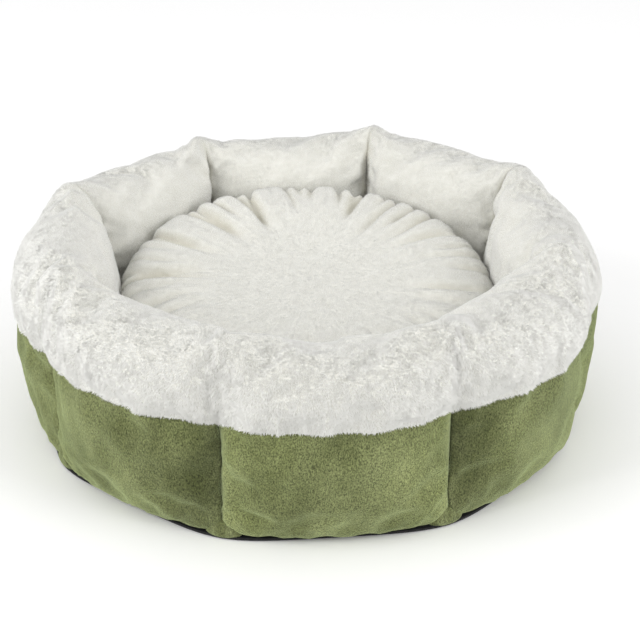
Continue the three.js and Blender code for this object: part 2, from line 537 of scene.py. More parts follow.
class Finish:
    """Base of the finishes: a material with one Principled shader."""

    def start(self, name: str, roughness: float) -> tuple:
        """Makes the material and its shader.

        Args:
            name: Name of the material.
            roughness: Roughness set on the shader.

        Returns:
            The material, its graph, the shader node and the object coordinate socket.
        """
        material = bpy.data.materials.new(name)
        material.use_nodes = True
        graph = Graph(material.node_tree)
        shader = material.node_tree.nodes["Principled BSDF"]
        shader.inputs["Roughness"].default_value = roughness
        shader.inputs["Specular IOR Level"].default_value = 0.25
        return material, graph, shader, graph.add("TexCoord").outputs["Object"]

    @staticmethod
    def group(
        graph: Graph, shared: SharedGroups, group: Group, inputs: dict
    ) -> bpy.types.Node:
        """Adds a shared group to a material.

        Args:
            graph: The material's graph.
            shared: The shared groups.
            group: Which of them.
            inputs: Values or sockets for its inputs.

        Returns:
            The group node.
        """
        node = graph.tree.nodes.new("ShaderNodeGroup")
        node.node_tree = shared.trees[group]
        for key, value in inputs.items():
            graph.feed(node.inputs[key], value)
        return node

    @staticmethod
    def bump(graph: Graph, shader: bpy.types.Node, height: Socket, distance: float) -> None:
        """Joins a height to the shader's normal.

        Args:
            graph: The material's graph.
            shader: The Principled shader.
            height: Socket with heights from 0 to 1.
            distance: What a height of 1 stands for, in metres.
        """
        node = graph.add("Bump", {"Height": height, "Distance": distance, "Strength": 0.8})
        graph.feed(shader.inputs["Normal"], node.outputs[0])


@dataclass(frozen=True)
class NapFinish(Finish):
    """Short brushed velvet pile."""

    name: str = "sage_green_velvet"
    dark: tuple = (0.088, 0.101, 0.034, 1.0)
    light: tuple = (0.198, 0.220, 0.094, 1.0)
    # edge is the colour of the painted sheen beside the corner seams; line is the colour of the
    # painted shade in the seam crease.
    edge: tuple = (0.275, 0.300, 0.145, 1.0)
    line: tuple = (0.030, 0.035, 0.012, 1.0)
    sheen: float = 1.0
    depth: float = 0.0006

    def material(self, shared: SharedGroups) -> Material:
        """Builds the material.

        Args:
            shared: The shared node groups.

        Returns:
            The material.
        """
        material, graph, shader, place = self.start(self.name, 0.92)
        nap = self.group(graph, shared, Group.NAP, {"Vector": place})
        seam = graph.add("Attribute", attribute_name="seam").outputs["Fac"]
        shade = self.group(graph, shared, Group.SEAM, {"Vector": place, "Seam": seam})
        body = graph.mix(nap.outputs["Tone"], self.dark, self.light)
        # Painted sheen: the cloth beside the corner seams is lightened towards the edge colour.
        painted_seam_light = graph.mix(graph.math("MULTIPLY", shade.outputs["PaintedSheen"], 0.55), body, self.edge)
        # Painted light and shade: this attribute scales the colour, so panel ends come out lighter
        # where a sheen would catch and darker where they turn into shade.
        painted_light_shade = graph.add("Attribute", attribute_name="painted_light_shade").outputs["Fac"]
        grain = graph.stretch(nap.outputs["Grain"], 0.0, 1.0, 0.2, 1.75)
        grain = graph.math("MULTIPLY", grain, graph.stretch(painted_light_shade, -1.0, 1.0, 0.6, 1.4))
        grained = graph.add("VectorMath", {0: painted_seam_light, "Scale": grain}, operation="SCALE").outputs[0]
        # Painted shade: a dark line along the seam crease.
        colour = graph.mix(shade.outputs["Line"], grained, self.line)
        graph.feed(shader.inputs["Base Color"], colour)
        roughness = graph.stretch(nap.outputs["Tone"], 0.0, 1.0, 0.98, 0.84)
        graph.feed(shader.inputs["Roughness"], roughness)
        shader.inputs["Sheen Weight"].default_value = self.sheen
        shader.inputs["Sheen Roughness"].default_value = 0.36
        shader.inputs["Sheen Tint"].default_value = (0.62, 0.72, 0.38, 1.0)
        self.bump(graph, shader, nap.outputs["Height"], self.depth)
        return material


@dataclass(frozen=True)
class FleeceFinish(Finish):
    """The ground of a plush cloth, seen between its fibres."""

    name: str = "white_plush_ground"
    # The ground's colours are kept darker than the fibres' as painted shade for the shadow deep in
    # the pile.
    low: tuple = (0.69, 0.683, 0.625, 1.0)
    high: tuple = (0.775, 0.771, 0.718, 1.0)
    # Colour of the painted shade in inner creases and in the valleys of the gathers.
    crease_shade: tuple = (0.54, 0.515, 0.42, 1.0)
    tufts: float = 150.0
    depth: float = 0.0006

    def material(self, shared: SharedGroups) -> Material:
        """Builds the material.

        Args:
            shared: The shared node groups.

        Returns:
            The material.
        """
        material, graph, shader, place = self.start(self.name, 0.95)
        clumps = self.group(graph, shared, Group.CLUMPS, {"Vector": place, "Tufts": self.tufts})
        seam = graph.add("Attribute", attribute_name="seam").outputs["Fac"]
        shade = self.group(graph, shared, Group.SEAM, {"Vector": place, "Seam": seam})
        # Painted shade: the ground is darker in the hollows between tufts, as its tone follows the
        # height.
        body = graph.mix(clumps.outputs["Tone"], self.low, self.high)
        # Painted shade: the ground darkens along the seam crease.
        painted_seam_light = graph.mix(graph.math("MULTIPLY", shade.outputs["Line"], 0.5), body, self.low)
        # Painted shade: where the fold attribute is set, in inner creases and pleat valleys, the
        # ground darkens towards the crease colour.
        fold = graph.add("Attribute", attribute_name="fold").outputs["Fac"]
        colour = graph.mix(graph.stretch(fold, 0.1, 1.0, 0.0, 0.6), painted_seam_light, self.crease_shade)
        graph.feed(shader.inputs["Base Color"], colour)
        roughness = graph.stretch(clumps.outputs["Tone"], 0.0, 1.0, 1.0, 0.85)
        graph.feed(shader.inputs["Roughness"], roughness)
        shader.inputs["Sheen Weight"].default_value = 0.3
        self.bump(graph, shader, clumps.outputs["Height"], self.depth)
        return material


@dataclass(frozen=True)
class FibreFinish(Finish):
    """The free fibres of a plush pile."""

    name: str = "white_pile_fibre"
    colour: tuple = (0.940, 0.937, 0.893, 1.0)

    def material(self, shared: SharedGroups) -> Material:
        """Builds the material.

        Args:
            shared: The shared node groups; not used.

        Returns:
            The material.
        """
        material, _, shader, _ = self.start(self.name, 0.9)
        shader.inputs["Base Color"].default_value = self.colour
        shader.inputs["Sheen Weight"].default_value = 0.25
        shader.inputs["Sheen Roughness"].default_value = 0.6
        return material


@dataclass(frozen=True)
class WeaveFinish(Finish):
    """Plain woven or non-woven cloth."""

    name: str = "off_white_lining"
    low: tuple = (0.66, 0.65, 0.60, 1.0)
    high: tuple = (0.84, 0.83, 0.79, 1.0)
    threads: float = 420.0
    roughness: float = 0.85
    depth: float = 0.0003

    def material(self, shared: SharedGroups) -> Material:
        """Builds the material.

        Args:
            shared: The shared node groups.

        Returns:
            The material.
        """
        material, graph, shader, place = self.start(self.name, self.roughness)
        weave = self.group(graph, shared, Group.WEAVE, {"Vector": place, "Threads": self.threads})
        colour = graph.mix(weave.outputs["Tone"], self.low, self.high)
        graph.feed(shader.inputs["Base Color"], colour)
        self.bump(graph, shader, weave.outputs["Height"], self.depth)
        return material


class Palette:
    """Every material of the bed, made once."""

    def __init__(self) -> None:
        """Builds the materials."""
        shared = SharedGroups()
        self.velvet = NapFinish().material(shared)
        self.ground = FleeceFinish().material(shared)
        self.fibre = FibreFinish().material(shared)
        self.lining = WeaveFinish().material(shared)
        self.black = WeaveFinish(
            name="black_grip_sheet",
            low=(0.006, 0.006, 0.007, 1.0),
            high=(0.020, 0.020, 0.022, 1.0),
            threads=260.0,
            roughness=0.7,
        ).material(shared)
        self.quilt = WeaveFinish(name="quilted_lining", threads=300.0).material(shared)


# ---- cloth ---------------------------------------------------------------------------------------


@dataclass(frozen=True)
class ClothRun:
    """Inflates a grid of cloth between its pinned seams.

    growth is the spare cloth, as a share of each length, and cap is how far a point may move.
    """

    frames: int = 18
    pressure: float = 2.5
    growth: float = 0.03
    cap: float = 0.007
    bending: float = 0.6
    stiffness: float = 14.0
    shear: float = 6.0
    mass: float = 0.25

    def settle(self, name: str, grid: np.ndarray, pins: np.ndarray) -> np.ndarray:
        """Runs the simulation.

        Args:
            name: Name of the passing object.
            grid: Points of the cloth, rows by columns by three, closed along its columns.
            pins: How firmly each point is held, from 0 to 1.

        Returns:
            The settled points, in the same order.
        """
        rows, columns = grid.shape[:2]
        obj = build_object(name, grid.reshape(-1, 3), [grid_quads(rows, columns, closed=True)])
        held = obj.vertex_groups.new(name="held")
        for weight in np.unique(pins.round(2)):
            chosen = np.nonzero(pins.round(2).ravel() == weight)[0].tolist()
            held.add(chosen, float(weight), "REPLACE")
        cloth = obj.modifiers.new("settle", "CLOTH")
        cloth.settings.quality = 5
        cloth.settings.mass = self.mass
        cloth.settings.tension_stiffness = self.stiffness
        cloth.settings.compression_stiffness = self.stiffness
        cloth.settings.shear_stiffness = self.shear
        cloth.settings.bending_stiffness = self.bending
        cloth.settings.effector_weights.gravity = 0
        cloth.settings.use_pressure = True
        cloth.settings.uniform_pressure_force = self.pressure
        cloth.settings.shrink_min = -self.growth
        cloth.settings.vertex_group_mass = "held"
        cloth.collision_settings.use_collision = False
        cloth.point_cache.frame_end = self.frames
        scene = bpy.context.scene
        for number in range(1, self.frames + 1):
            scene.frame_set(number)
        evaluated = obj.evaluated_get(bpy.context.evaluated_depsgraph_get())
        moved = np.empty(rows * columns * 3, np.float32)
        evaluated.data.vertices.foreach_get("co", moved)
        scene.frame_set(1)
        mesh = obj.data
        bpy.data.objects.remove(obj)
        bpy.data.meshes.remove(mesh)
        shift = moved.reshape(grid.shape) - grid
        length = np.linalg.norm(shift, axis=2, keepdims=True)
        shift *= np.minimum(1, self.cap / np.maximum(length, 1e-9))
        LOG.info("%s settled, mean shift %.1f mm", name, 1000 * float(length.mean()))
        return grid + shift


@dataclass(frozen=True)
class Pile:
    """Plush fibres grown from a grid as thin three-sided spikes.

    Lengths are in metres. lean says how far clumps tip over, spread how far single fibres do
    and droop how far they hang. streak squeezes the clumps' pattern upright, which draws them out.
    rise and sway are the shares of the normal and of the tip's offset in a fibre's direction.
    """

    fibres: int = 60000
    length: float = 0.0042
    width: float = 0.0009
    clump: float = 0.0048
    streak: float = 0.42
    lean: float = 0.20
    spread: float = 0.14
    droop: float = 0.34
    softness: float = 0.96
    rise: float = 0.62
    sway: float = 0.8
    root_depth: float = 0.0005

    def grow(
        self, name: str, grid: np.ndarray, seed: int, trim: np.ndarray, thin: np.ndarray
    ) -> Object:
        """Makes the fibres.

        Args:
            name: Name of the object.
            grid: Points of the cloth, rows by columns by three.
            seed: Seed of the fibres' places and turns.
            trim: Share of the full length at each grid point.
            thin: Share of the full density at each grid point.

        Returns:
            The new object.
        """
        rng = np.random.default_rng(seed)
        normals = grid_normals(grid)
        a, b, c = grid[:-1, :-1], grid[:-1, 1:], grid[1:, :-1]
        area = (np.linalg.norm(np.cross(b - a, c - a), axis=2) * thin[:-1, :-1]).ravel()
        cell = rng.choice(len(area), self.fibres, p=area / area.sum())
        row, column = np.divmod(cell, grid.shape[1] - 1)
        s, t = rng.random((2, self.fibres, 1))

        def sample(values: np.ndarray) -> np.ndarray:
            """Reads the grid at each fibre's root.

            Args:
                values: Numbers or vectors at the grid's points.

            Returns:
                One value for each fibre.
            """
            near = values[row, column] * (1 - s) + values[row, column + 1] * s
            far = values[row + 1, column] * (1 - s) + values[row + 1, column + 1] * s
            return near * (1 - t) + far * t

        root, normal = sample(grid), unit(sample(normals))
        length = self.length * rng.uniform(0.7, 1.15, (self.fibres, 1)) * sample(trim[..., None])
        drawn = root * np.array([1.0, 1.0, self.streak])
        clumped = tufted(drawn, self.clump, 11) + 0.5 * tufted(drawn, 0.45 * self.clump, 12)
        tip = self.lean * clumped + rng.normal(0, self.spread, root.shape)
        tip = tip * sample(trim[..., None])
        tip -= normal * (tip * normal).sum(1, keepdims=True)
        hang = np.array([0.0, 0.0, -self.droop])
        end = root + length * (self.rise * normal + self.sway * tip + hang)
        along = unit(end - root)
        side = unit(np.cross(along, rng.normal(size=root.shape)))
        other = np.cross(along, side)
        turns = 2 * math.pi * np.arange(3)[:, None, None] / 3
        around = np.cos(turns) * side + np.sin(turns) * other
        foot = root - self.root_depth * normal + 0.5 * self.width * around
        verts = np.concatenate([foot, end[None]]).transpose(1, 0, 2).reshape(-1, 3)
        base = np.arange(self.fibres)[:, None] * 4
        corners = ((0, 1, 3), (1, 2, 3), (2, 0, 3))
        sides = np.concatenate([base + np.array(face) for face in corners])
        obj = build_object(name, verts, [sides])
        own = np.concatenate([around, along[None]])
        shade = self.softness * normal + (1 - self.softness) * own
        shade = unit(shade).transpose(1, 0, 2).reshape(-1, 3)
        obj.data.normals_split_custom_set_from_vertices(shade)
        return obj


# ---- wall ----------------------------------------------------------------------------------------


@dataclass(frozen=True)
class WallSkin:
    """The cloth round the wall: one ring of grid from the base seam over the crest to the floor.

    Each row of panel_rows and rim_rows is radius and height at a corner seam, then at mid-side,
    in metres. crest_lift raises the crest by a little at each half side, from the front round.
    """

    panel_rows: tuple = (
        (0.2290, 0.0036, 0.2170, 0.0034),
        (0.2345, 0.0037, 0.2270, 0.0030),
        (0.2370, 0.0100, 0.2350, 0.0085),
        (0.2368, 0.0270, 0.2420, 0.0270),
        (0.2355, 0.0530, 0.2455, 0.0530),
        (0.2360, 0.0770, 0.2485, 0.0790),
        (0.2360, 0.1040, 0.2482, 0.1085),
    )
    rim_rows: tuple = (
        (0.2360, 0.1040, 0.2482, 0.1085),
        (0.2398, 0.1240, 0.2490, 0.1290),
        (0.2388, 0.1480, 0.2430, 0.1500),
        (0.2350, 0.1700, 0.2315, 0.1680),
        (0.2285, 0.1825, 0.2160, 0.1770),
        (0.2195, 0.1868, 0.2020, 0.1795),
        (0.2095, 0.1835, 0.1880, 0.1730),
        (0.2010, 0.1690, 0.1785, 0.1590),
        (0.1950, 0.1430, 0.1725, 0.1360),
        (0.1910, 0.0900, 0.1690, 0.0900),
        (0.1900, 0.0150, 0.1680, 0.0150),
    )
    crest_lift: tuple = (
        0.0, 0.001, 0.0, 0.001, 0.001, 0.004, 0.006, 0.0055,
        0.001, 0.0, 0.001, 0.003, 0.002, 0.001, 0.0, 0.001,
    )
    panel_count: int = 17
    rim_count: int = 45
    columns: int = 20
    puff_power: float = 2.6
    front_drop: float = 0.2
    drop_power: float = 2.4
    left_swell: float = 0.0025
    cloth: ClothRun = field(default_factory=ClothRun)

    def stations(self) -> np.ndarray:
        """Places of the columns along a side, from -1 to 1 and closer together at the seams."""
        t = np.linspace(-1, 1, self.columns + 1)[:-1]
        return 0.6 * t + 0.4 * np.sin(0.5 * math.pi * t)

    def heights(self, rows: np.ndarray, azimuth: np.ndarray) -> np.ndarray:
        """Lowers the wall towards the front.

        Args:
            rows: Heights before.
            azimuth: Direction of each point from the middle.

        Returns:
            Heights after.
        """
        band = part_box("outer_panel_1")[1].z
        front = 0.5 * (1 - np.sin(azimuth))
        scale = 1 - self.front_drop * front**self.drop_power
        turn = (azimuth + 0.5 * math.pi) / HALF_SIDE
        lift = np.interp(turn, np.arange(2 * SIDES + 1), self.crest_lift + self.crest_lift[:1])
        lowered = np.where(rows > band, band + (rows - band) * scale, rows)
        return lowered + lift * eased(rows, 0.09, 0.17)

    def grid(self) -> np.ndarray:
        """The cloth before it settles, rows by columns by three."""
        seams, middles = [], []
        for rows, count in ((self.panel_rows, self.panel_count), (self.rim_rows, self.rim_count)):
            rows = np.array(rows)
            seams.append(smooth_curve(rows[:, :2], count)[1 if seams else 0 :])
            middles.append(smooth_curve(rows[:, 2:], count)[1 if middles else 0 :])
        seam, middle = np.vstack(seams), np.vstack(middles)
        station = np.tile(self.stations(), SIDES)
        centre = np.repeat(-0.5 * math.pi + 2 * HALF_SIDE * np.arange(SIDES), self.columns)
        angle = station * HALF_SIDE
        puff = 1 - np.abs(station) ** self.puff_power
        flat = math.cos(HALF_SIDE)
        radius = seam[:, :1] * flat / np.cos(angle) + (middle[:, :1] - seam[:, :1] * flat) * puff
        height = seam[:, 1:] + (middle[:, 1:] - seam[:, 1:]) * puff
        azimuth = centre + angle
        swell = self.left_swell * np.clip(-np.cos(azimuth), 0, 1) ** 3
        radius = radius + swell * eased(height, 0.10, 0.15)
        height = self.heights(height, np.broadcast_to(azimuth, height.shape))
        return np.stack([radius * np.cos(azimuth), radius * np.sin(azimuth), height], -1)

    def pins(self, grid: np.ndarray) -> np.ndarray:
        """How firmly each point of the cloth is held.

        Args:
            grid: The cloth before it settles.

        Returns:
            Weights from 0 to 1.
        """
        pins = np.zeros(grid.shape[:2])
        pins[:5] = np.array([1.0, 1.0, 0.9, 0.7, 0.4])[:, None]
        pins[:, :: self.columns] = 1.0
        pins[-3:] = 1.0
        pins[self.panel_count - 1] = np.maximum(pins[self.panel_count - 1], 0.3)
        return pins

    def settled(self) -> np.ndarray:
        """The cloth after inflation, twice as fine both ways."""
        grid = self.grid()
        grid = grid + 0.0007 * drift(grid, 0.03, 3) * (1 - self.pins(grid))[..., None]
        grid = self.cloth.settle("wall_cloth", grid, self.pins(grid))
        return refine(refine(grid, 0, closed=False), 1, closed=True)


@dataclass(frozen=True)
class Wall:
    """The eight sides of the bed: green panels, plush rims and their pile."""

    skin: WallSkin = field(default_factory=WallSkin)
    pile: Pile = field(default_factory=Pile)
    panel_thickness: float = 0.0022
    rim_thickness: float = 0.003
    groove: float = 0.0032
    inner_groove: float = 0.0050
    groove_width: float = 0.0050
    pucker: float = 0.0011
    pucker_reach: float = 0.016
    pucker_gap: float = 0.003
    notch: float = 0.0095
    notch_reach: float = 0.020
    notch_height: float = 0.03
    crest_share: float = 0.42
    panel_seam_reach: float = 0.009
    rim_seam_reach: float = 0.006
    fold_width: float = 0.003
    clipped: float = 0.64
    # Painted light and shade at the two ends of each panel, by side: the brightness at the first
    # and last end, raised for a painted sheen and lowered for painted shade where a side panel
    # turns in beside the front panel.
    painted_light_shade: dict = field(
        default_factory=lambda: {0: (0.9, 0.7), 1: (-0.8, 0.8), 7: (0.7, -0.8)}
    )

    def seam_distance(self, grid: np.ndarray) -> np.ndarray:
        """Distance along the cloth from each point to the nearer corner seam of its side."""
        step = np.linalg.norm(np.diff(grid, axis=1), axis=2)
        run = np.concatenate([np.zeros((len(grid), 1)), np.cumsum(step, axis=1)], axis=1)
        return np.minimum(run, run[:, -1:] - run)

    def sewn(self, grid: np.ndarray, normals: np.ndarray, depth: np.ndarray) -> np.ndarray:
        """Pulls the cloth in along the corner seams and puckers it beside them.

        Args:
            grid: One side's grid.
            normals: Normals of the whole ring at the same points.
            depth: Depth of the seam at each row.

        Returns:
            The grid with its seams drawn in.
        """
        distance = self.seam_distance(grid)
        pull = depth[:, None] * np.exp(-distance / self.groove_width)
        near = np.exp(-((distance / self.pucker_reach) ** 2))
        near = near * (1 - np.exp(-((distance / self.pucker_gap) ** 2)))
        near = near * np.clip(depth / self.groove, 0, 1)[:, None]
        ripples = drift(grid * np.array([0.4, 0.4, 1.0]), 0.014, 21)[..., 0]
        pull = pull + self.pucker * near * ripples
        rounded = self.notch * np.clip(1 - distance / self.notch_reach, 0, 1) ** 2
        moved = grid - normals * pull[..., None]
        moved[..., 2] += rounded * np.clip(1 - grid[..., 2] / self.notch_height, 0, 1)
        return moved

    def build(self, palette: Palette) -> None:
        """Makes every piece of the wall.

        Args:
            palette: The bed's materials.
        """
        whole = self.skin.settled()
        rows = len(whole)
        split = 2 * (self.skin.panel_count - 1)
        row = np.arange(rows)
        crest = split + self.crest_share * (rows - split)
        depth = self.groove * (1 - eased(row, split - 3, split + 3))
        depth += self.inner_groove * eased(row, crest - 6, crest + 10)
        normals = grid_normals(whole, closed=True)
        columns = 2 * self.skin.columns
        for side in range(SIDES):
            at = np.arange(side * columns, (side + 1) * columns + 1) % whole.shape[1]
            grid = self.sewn(whole[:, at], normals[:, at], depth)
            distance = self.seam_distance(grid)
            self.panel(side, grid[: split + 1], distance[: split + 1], palette)
            self.rim(side, grid[split:], distance[split:], row[split:] - crest, palette)
        LOG.info("wall: %d sides, %d rows of cloth", SIDES, rows)

    def panel(self, side: int, grid: np.ndarray, distance: np.ndarray, palette: Palette) -> None:
        """Makes one green panel.

        Args:
            side: Number of the side, from 0.
            grid: The panel's cloth.
            distance: Distance of each point from a corner seam.
            palette: The bed's materials.
        """
        piece = shell(f"green_panel_{side + 1}", grid, self.panel_thickness)
        # The seam value drives the painted sheen beside the corner seams and the painted shade line
        # in the seam crease.
        seam = np.exp(-distance / self.panel_seam_reach)
        paint(piece, "seam", seam)
        # Painted light and shade along the panel, lighter or darker towards its ends, with some
        # random variation on top.
        first, last = self.painted_light_shade.get(side, (0.4, 0.4))
        at = np.linspace(-1, 1, grid.shape[1])[None, :]
        painted_light_shade = first * eased(-at, 0.15, 1.0) + last * eased(at, 0.15, 1.0)
        painted_light_shade = painted_light_shade + 0.25 * drift(grid, 0.05, 51)[..., 0]
        paint(piece, "painted_light_shade", painted_light_shade)
        piece.data.materials.append(palette.velvet)
        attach(piece, Body.BED.value)
        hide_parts(f"outer_panel_{side + 1}")

    def rim(
        self, side: int, grid: np.ndarray, distance: np.ndarray, past: np.ndarray, palette: Palette
    ) -> None:
        """Makes one plush rim and its pile.

        Args:
            side: Number of the side, from 0.
            grid: The rim's cloth.
            distance: Distance of each point from a corner seam.
            past: How many rows each row lies past the crest.
            palette: The bed's materials.
        """
        piece = shell(f"plush_rim_{side + 1}", grid, self.rim_thickness)
        # The seam value sets the pile's length near the seams and, in the ground's colour, a
        # painted shade line in the seam crease.
        seam = np.exp(-distance / self.rim_seam_reach)
        paint(piece, "seam", seam)
        # Painted shade in the inner corner creases, stored as the fold attribute.
        inside = eased(past, -12, 3)[:, None]
        fold = inside * np.exp(-distance / self.fold_width)
        paint(piece, "fold", fold)
        piece.data.materials.append(palette.ground)
        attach(piece, Body.BED.value)
        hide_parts(f"rim_panel_{side + 1}", f"wall_fill_{side + 1}")
        trim = (1 - self.clipped * inside) * (1 + (0.35 - 0.85 * inside) * seam)
        trim = trim * (0.80 + 0.20 * eased(np.arange(len(grid)), 0, 5)[:, None])
        thin = np.where(grid[..., 2] < 0.08, 0.3, 1.0) * (1 - 0.6 * fold)
        pile = self.pile.grow(f"plush_pile_{side + 1}", grid, 100 + side, trim, thin)
        pile.data.materials.append(palette.fibre)
        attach(pile, Body.BED.value)


# ---- cushion -------------------------------------------------------------------------------------


@dataclass(frozen=True)
class Cushion:
    """The loose round cushion, gathered at its edge."""

    top_rows: tuple = (
        (0.1640, 0.0702),
        (0.1645, 0.0930),
        (0.1615, 0.1130),
        (0.1510, 0.1260),
        (0.1300, 0.1305),
        (0.0900, 0.1275),
        (0.0450, 0.1235),
        (0.0001, 0.1220),
    )
    bottom_rows: tuple = (
        (0.0001, 0.0146),
        (0.0640, 0.0146),
        (0.1250, 0.0150),
        (0.1480, 0.0240),
        (0.1600, 0.0450),
        (0.1640, 0.0698),
    )
    top_count: int = 38
    bottom_count: int = 30
    columns: int = 300
    tilt: float = 0.165
    folds: int = 58
    fold_depth: float = 0.0078
    fold_reach: tuple = (0.105, 0.160)
    fold_width: tuple = (0.0024, 0.0042)
    seam_fade: float = 0.012
    tilt_height: float = 0.127
    thickness: float = 0.002
    pile: Pile = field(
        default_factory=lambda: Pile(
            length=0.0015, width=0.0008, clump=0.005, lean=0.15, spread=0.1, droop=0.0
        )
    )
    cloth: ClothRun = field(default_factory=lambda: ClothRun(growth=0.02, cap=0.005, pressure=2.0))

    def turned(self, rows: tuple, count: int) -> np.ndarray:
        """Turns a profile round the middle and tilts it up towards the back.

        Args:
            rows: Radius and height of the profile's points.
            count: Number of rows wanted.

        Returns:
            The grid.
        """
        line = smooth_curve(np.array(rows), count)
        angle = np.linspace(0, 2 * math.pi, self.columns, endpoint=False)
        radius, height = line[:, :1], line[:, 1:]
        x, y = radius * np.cos(angle), radius * np.sin(angle)
        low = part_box("cushion_cover_bottom")[0].z
        share = np.clip((height - low) / (self.tilt_height - low), 0, None)
        return np.stack([x, y, height + self.tilt * y * share], -1)

    def gathers(self, grid: np.ndarray) -> np.ndarray:
        """Depth of the folds that run in from the edge seam.

        Args:
            grid: The top's grid, from the edge seam to the middle.

        Returns:
            Depth at each point.
        """
        rng = np.random.default_rng(41)
        radius = np.linalg.norm(grid[..., :2], axis=2)
        angle = np.arctan2(grid[..., 1], grid[..., 0])
        step = np.linalg.norm(np.diff(grid, axis=0), axis=2).mean(1)
        run = np.concatenate([[0], np.cumsum(step)])[:, None]
        depth = np.zeros(radius.shape)
        spacing = rng.uniform(0.7, 1.35, self.folds)
        places = 2 * math.pi * np.cumsum(spacing) / spacing.sum()
        for place in places:
            reach = rng.uniform(*self.fold_reach)
            slant = rng.normal(0, 0.7)
            width = rng.uniform(*self.fold_width)
            strength = rng.uniform(0.30, 1.0) * (0.72 + 0.34 * math.sin(place - 0.3))
            away = (angle - place - slant * run + math.pi) % (2 * math.pi) - math.pi
            valley = np.exp(-((away * np.maximum(radius, 0.03) / (width * (1 + 4 * run))) ** 2))
            depth += strength * valley * (1 - eased(run, 0.6 * reach, reach))
        return self.fold_depth * np.minimum(depth, 1.3) * eased(run, 0.0, self.seam_fade)

    def build(self, palette: Palette) -> None:
        """Makes the cushion's two covers and its pile.

        Args:
            palette: The bed's materials.
        """
        bottom = self.turned(self.bottom_rows, self.bottom_count)
        top = self.turned(self.top_rows, self.top_count)
        bag = np.concatenate([bottom, top])
        pins = np.zeros(bag.shape[:2])
        edge = self.bottom_count
        pins[edge - 1 : edge + 1] = 1.0
        pins[: edge - 10] = 1.0
        pins[-16:] = np.linspace(0.2, 1.0, 16)[:, None]
        bag = self.cloth.settle("cushion_cloth", bag, pins)
        bottom, top = bag[:edge], bag[edge:]
        top = refine(refine(top, 0, closed=False), 1, closed=True)
        bottom = refine(bottom, 1, closed=True)
        under = bottom[::-1]
        shallow = 0.5 * self.gathers(under) * (1 - eased(np.arange(len(under)), 3, 12)[:, None])
        bottom = (under + grid_normals(under, closed=True) * shallow[..., None])[::-1]
        depth = self.gathers(top)
        top = top - grid_normals(top, closed=True) * depth[..., None]
        fold = np.clip(depth / self.fold_depth, 0, 1)
        stands_for = ("cushion_cover_top", "cushion_fill")
        cover = self.cover("cushion_plush_top", top, palette.ground, *stands_for)
        # Painted shade in the valleys of the gathers, through the fold attribute.
        paint(cover, "fold", fold)
        self.cover("cushion_underside", bottom, palette.lining, "cushion_cover_bottom")
        half = top.shape[1] // 2
        for number in range(2):
            at = np.arange(number * half, (number + 1) * half + 1) % top.shape[1]
            part = top[:, at]
            even = 1 - 0.5 * fold[:, at]
            outer = np.linalg.norm(part[..., :2], axis=2) > 0.162
            thin = np.where(outer, 0.4, 1.0) * (1 - 0.8 * fold[:, at])
            pile = self.pile.grow(f"cushion_pile_{number + 1}", part, 300 + number, even, thin)
            pile.data.materials.append(palette.fibre)
            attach(pile, Body.CUSHION.value)
        LOG.info("cushion: %d gathers", self.folds)

    def cover(self, name: str, grid: np.ndarray, material: Material, *nodes: str) -> Object:
        """Makes one cover of the cushion as a closed body.

        Args:
            name: Name of the piece.
            grid: The cover's grid.
            material: Its material.
            *nodes: CAD nodes that it stands for.

        Returns:
            The new object.
        """
        rows, columns = grid.shape[:2]
        inner = grid - grid_normals(grid, closed=True) * self.thickness
        verts = np.concatenate([grid.reshape(-1, 3), inner.reshape(-1, 3)])
        count = rows * columns
        faces = [grid_quads(rows, columns, closed=True)]
        faces.append(faces[0][:, ::-1] + count)
        ring = np.arange(columns)
        after = (ring + 1) % columns
        first = np.stack([ring, ring + count, after + count, after], 1)
        last = first[:, ::-1] + (rows - 1) * columns
        piece = build_object(name, verts, [np.concatenate(faces + [first, last])])
        paint(piece, "seam", np.zeros(len(verts)))
        piece.data.materials.append(material)
        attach(piece, Body.CUSHION.value)
        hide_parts(*nodes)
        return piece


# ---- floor ---------------------------------------------------------------------------------------


def rounded_octagon(angle: np.ndarray, apothem: float, reach: float) -> np.ndarray:
    """Radius of an octagon with soft corners.

    Args:
        angle: Directions from the middle.
        apothem: Distance from the middle to each side.
        reach: Distance from the middle at which the corners are cut off.

    Returns:
        The radius in each direction.
    """
    within = (angle + 0.5 * math.pi + HALF_SIDE) % (2 * HALF_SIDE) - HALF_SIDE
    power = 60.0
    return ((apothem / np.cos(within)) ** -power + reach**-power) ** (-1 / power)


